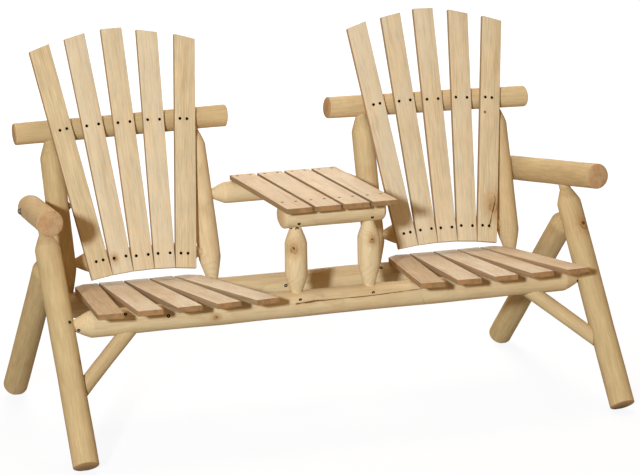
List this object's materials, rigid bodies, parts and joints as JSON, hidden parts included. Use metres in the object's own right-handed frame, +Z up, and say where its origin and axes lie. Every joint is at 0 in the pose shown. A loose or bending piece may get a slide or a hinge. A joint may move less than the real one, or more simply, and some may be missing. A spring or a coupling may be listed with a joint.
{
  "type": "adirondack loveseat",
  "caption": "Rustic peeled-log garden loveseat with fan-shaped slatted backs, fanned seat boards, log arms and a small slatted table between the seats.",
  "frame": {"origin": "on the floor, at the middle of the loveseat's footprint", "axes": "+X along the loveseat to the sitters' left, which is the viewer's right from the front, +Y to the rear, +Z up"},
  "size_m": [1.7136, 0.9284, 1.0957],
  "materials": {
    "log_wood": "bare peeled pine, sanded",
    "back_board_wood": "bare planed pine",
    "seat_board_wood": "bare planed pine",
    "screw_steel": "dark coating",
    "bolt_steel": "dull dark zinc"
  },
  "bodies": {
    "root": {"arm_bolt_left": "bolt_steel", "arm_bolt_right": "bolt_steel", "arm_bolt_washer_left": "bolt_steel", "arm_bolt_washer_right": "bolt_steel", "arm_left": "log_wood", "arm_nut_left": "bolt_steel", "arm_nut_right": "bolt_steel", "arm_nut_washer_left": "bolt_steel", "arm_nut_washer_right": "bolt_steel", "arm_right": "log_wood", "back_board_left_1": "back_board_wood", "back_board_left_2": "back_board_wood", "back_board_left_3": "back_board_wood", "back_board_left_4": "back_board_wood", "back_board_left_5": "back_board_wood", "back_board_right_1": "back_board_wood", "back_board_right_2": "back_board_wood", "back_board_right_3": "back_board_wood", "back_board_right_4": "back_board_wood", "back_board_right_5": "back_board_wood", "front_leg_left": "log_wood", "front_leg_right": "log_wood", "front_rail": "log_wood", "inner_upright_left": "log_wood", "inner_upright_right": "log_wood", "leg_brace_left": "log_wood", "leg_brace_right": "log_wood", "low_back_rail_left": "log_wood", "low_back_rail_right": "log_wood", "outer_upright_left": "log_wood", "outer_upright_right": "log_wood", "post_foot_lock_screw_left": "screw_steel", "post_foot_lock_screw_right": "screw_steel", "post_top_lock_screw_left": "screw_steel", "post_top_lock_screw_right": "screw_steel", "rail_lock_screw_left": "screw_steel", "rail_lock_screw_right": "screw_steel", "rear_leg_left": "log_wood", "rear_leg_right": "log_wood", "rear_rail": "log_wood", "seat_board_left_1": "seat_board_wood", "seat_board_left_2": "seat_board_wood", "seat_board_left_3": "seat_board_wood", "seat_board_left_4": "seat_board_wood", "seat_board_left_5": "seat_board_wood", "seat_board_right_1": "seat_board_wood", "seat_board_right_2": "seat_board_wood", "seat_board_right_3": "seat_board_wood", "seat_board_right_4": "seat_board_wood", "seat_board_right_5": "seat_board_wood", "table_board_1": "seat_board_wood", "table_board_2": "seat_board_wood", "table_board_3": "seat_board_wood", "table_board_4": "seat_board_wood", "table_front_bearer": "log_wood", "table_post_left": "log_wood", "table_post_right": "log_wood", "table_rear_bearer": "log_wood", "top_rail_left": "log_wood", "top_rail_right": "log_wood"}
  },
  "joints": []
}
